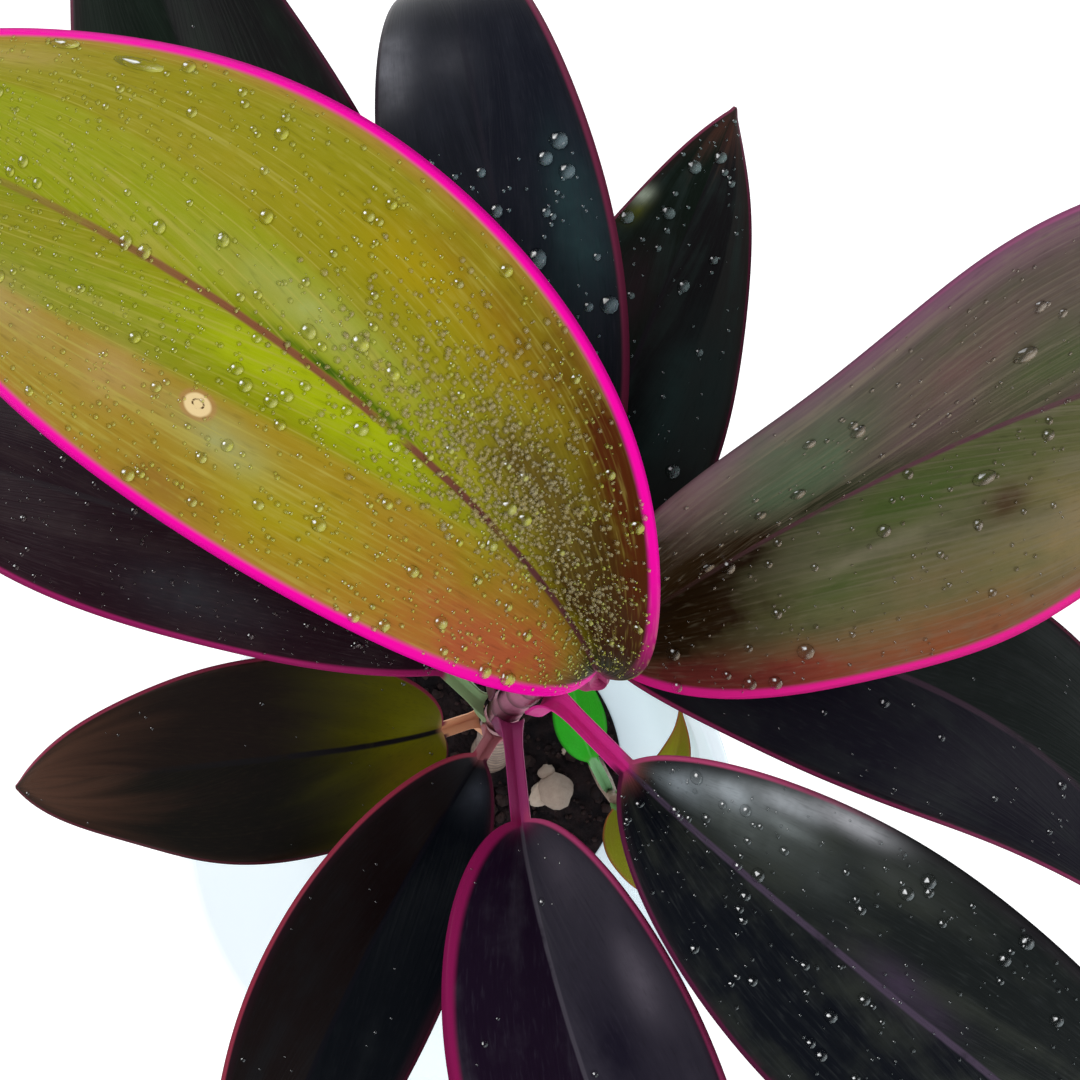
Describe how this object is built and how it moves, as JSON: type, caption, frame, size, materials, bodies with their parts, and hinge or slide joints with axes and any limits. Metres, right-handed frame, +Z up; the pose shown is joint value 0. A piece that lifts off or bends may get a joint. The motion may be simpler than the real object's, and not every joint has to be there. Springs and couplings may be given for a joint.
{
  "type": "potted ti plant",
  "caption": "Ti plant in a plain tapered pot: a leaning cane in soil, with long folded leaves arching out in a spiral, the top one lime, and a small side shoot.",
  "frame": {"origin": "centre of the pot's underside, on the surface that the plant stands on", "axes": "+Z up; seen from straight above with +Y up the page, as in the picture, +X points right"},
  "size_m": [0.3435, 0.3502, 0.3121],
  "materials": {
    "pot": "satin",
    "soil": "matte",
    "cane": "matte",
    "side_shoot": "satin",
    "leaf_01_top": "satin",
    "leaf_02_right": "satin",
    "leaf_03_back": "satin",
    "leaf_04_back_left": "satin",
    "leaf_05_front_right": "satin",
    "leaf_06_front": "satin",
    "leaf_07_left": "satin",
    "leaf_08_low_right": "satin",
    "leaf_09_low_back": "satin",
    "leaf_10_front_left": "satin",
    "leaf_11_low_left": "satin"
  },
  "bodies": {
    "root": {"pot": "pot", "soil": "soil", "cane": "cane", "side_shoot": "side_shoot", "leaf_01_top": "leaf_01_top", "leaf_02_right": "leaf_02_right", "leaf_03_back": "leaf_03_back", "leaf_04_back_left": "leaf_04_back_left", "leaf_05_front_right": "leaf_05_front_right", "leaf_06_front": "leaf_06_front", "leaf_07_left": "leaf_07_left", "leaf_08_low_right": "leaf_08_low_right", "leaf_09_low_back": "leaf_09_low_back", "leaf_10_front_left": "leaf_10_front_left", "leaf_11_low_left": "leaf_11_low_left"}
  },
  "joints": []
}
